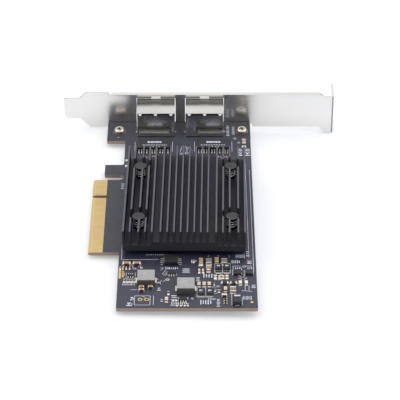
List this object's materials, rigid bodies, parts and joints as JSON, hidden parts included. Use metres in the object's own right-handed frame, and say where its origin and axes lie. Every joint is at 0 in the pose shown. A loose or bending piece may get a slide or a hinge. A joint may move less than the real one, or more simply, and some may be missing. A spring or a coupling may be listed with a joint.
{
  "type": "network interface card",
  "caption": "Half height expansion card with network sockets, a full height mounting bracket, a long edge connector and a finned heatsink held by sprung pins.",
  "frame": {"origin": "centre of the edge connector's key notch, on the fingers' leading edge, at half the board's thickness", "axes": "+X from the slot up the card, +Y towards the bracket, +Z out of the component side"},
  "size_m": [0.12, 0.1467, 0.0212],
  "materials": {
    "solder_mask": "smooth dark solder mask over glass epoxy",
    "gold": "gold plated",
    "chip_plastic": "moulded, fine matt",
    "thermal_pad": "soft pad",
    "black_anodised": "black anodised",
    "black_nylon": "satin nylon",
    "spring_steel": "drawn wire",
    "bracket_steel": "satin plated sheet",
    "screw_steel": "bright plated",
    "shield_metal": "tin plated sheet",
    "housing_plastic": "moulded",
    "light_pipe": "clear moulded",
    "ferrite": "pressed powder",
    "ceramic": "fired ceramic",
    "resistor_black": "coated ceramic"
  },
  "bodies": {
    "root": {"circuit_board": "solder_mask", "edge_contacts": "gold", "controller_chip": "chip_plastic", "thermal_pad": "thermal_pad", "heatsink": "black_anodised", "push_pins": "black_nylon", "pin_springs": "spring_steel", "bracket": "bracket_steel", "bracket_screws": "screw_steel", "left_jack_shield": "shield_metal", "right_jack_shield": "shield_metal", "left_jack_housing": "housing_plastic", "right_jack_housing": "housing_plastic", "left_jack_contacts": "gold", "right_jack_contacts": "gold", "jack_light_pipes": "light_pipe", "left_transformer": "chip_plastic", "right_transformer": "chip_plastic", "flash_chip": "chip_plastic", "regulator_chip": "chip_plastic", "supervisor_chip": "chip_plastic", "gate_chip": "chip_plastic", "power_inductors": "ferrite", "rectifiers": "chip_plastic", "protection_diode": "chip_plastic", "power_transistors": "chip_plastic", "ceramic_capacitors": "ceramic", "chip_resistors": "resistor_black"}
  },
  "joints": []
}
